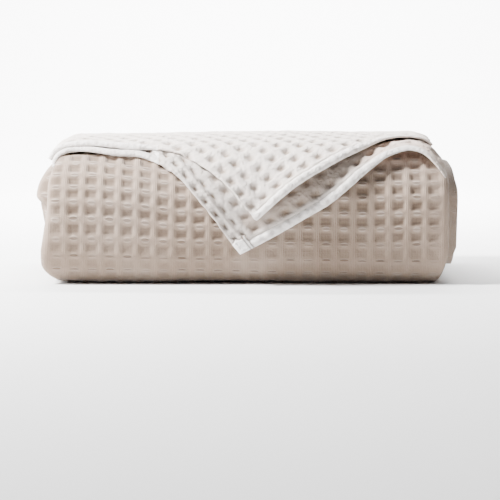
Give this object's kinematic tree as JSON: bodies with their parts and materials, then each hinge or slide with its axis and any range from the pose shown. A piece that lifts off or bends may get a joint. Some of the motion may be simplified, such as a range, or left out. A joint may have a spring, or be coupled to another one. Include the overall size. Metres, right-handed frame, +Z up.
{
  "type": "waffle weave cotton blanket",
  "caption": "Waffle weave cotton blanket folded into a thick pack with a rounded front, with two hemmed corners turned over the top and hanging down the front",
  "frame": {"origin": "middle of the underside, on the surface that the folded blanket rests on", "axes": "+X to the right along the front fold, -Y towards the front with the turned corners, +Z up"},
  "size_m": [0.3694, 0.2928, 0.1316],
  "materials": {
    "cloth": "soft undyed-looking warm grey cotton in a deep waffle weave"
  },
  "bodies": {
    "root": {"blanket": "cloth"}
  },
  "joints": []
}
